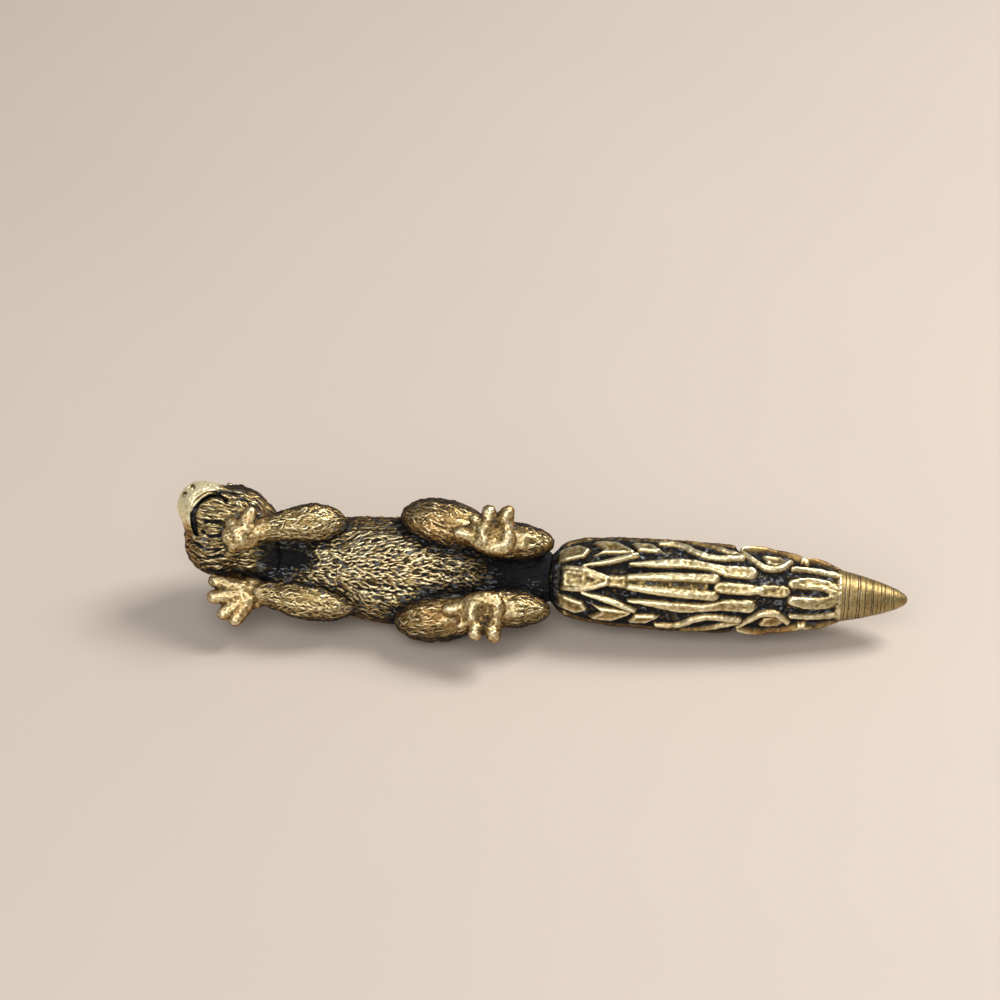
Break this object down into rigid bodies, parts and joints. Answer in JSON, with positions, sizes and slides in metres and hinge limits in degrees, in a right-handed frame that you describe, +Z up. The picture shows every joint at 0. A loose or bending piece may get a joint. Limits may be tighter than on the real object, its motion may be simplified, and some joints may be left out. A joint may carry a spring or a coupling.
{
  "type": "squirrel figurine",
  "caption": "Small cast brass squirrel lying on its back, hands beside its cheeks, hind feet raised, and a long tail carved with leaves and scrolls that ends in a turned cone.",
  "frame": {"origin": "on the table, below the middle of the joint between the rump and the tail", "axes": "+X along the body from the head to the tail's tip, +Z up from the table, -Y towards the side that the belly faces"},
  "size_m": [0.0952, 0.019, 0.0186],
  "materials": {
    "furred_brass": "cast, antiqued and hand polished",
    "carved_brass": "carved relief with dark patina in the recesses",
    "turned_brass": "turned and worn smooth",
    "pin_brass": "drawn rod"
  },
  "bodies": {
    "root": {"torso": "furred_brass", "head": "furred_brass", "left_arm": "furred_brass", "right_arm": "furred_brass", "left_leg": "furred_brass", "right_leg": "furred_brass", "tail": "carved_brass", "tail_tip": "turned_brass", "neck_pin": "pin_brass", "shoulder_pins": "pin_brass", "hip_pins": "pin_brass", "tail_stud": "pin_brass", "tip_stud": "pin_brass"}
  },
  "joints": []
}
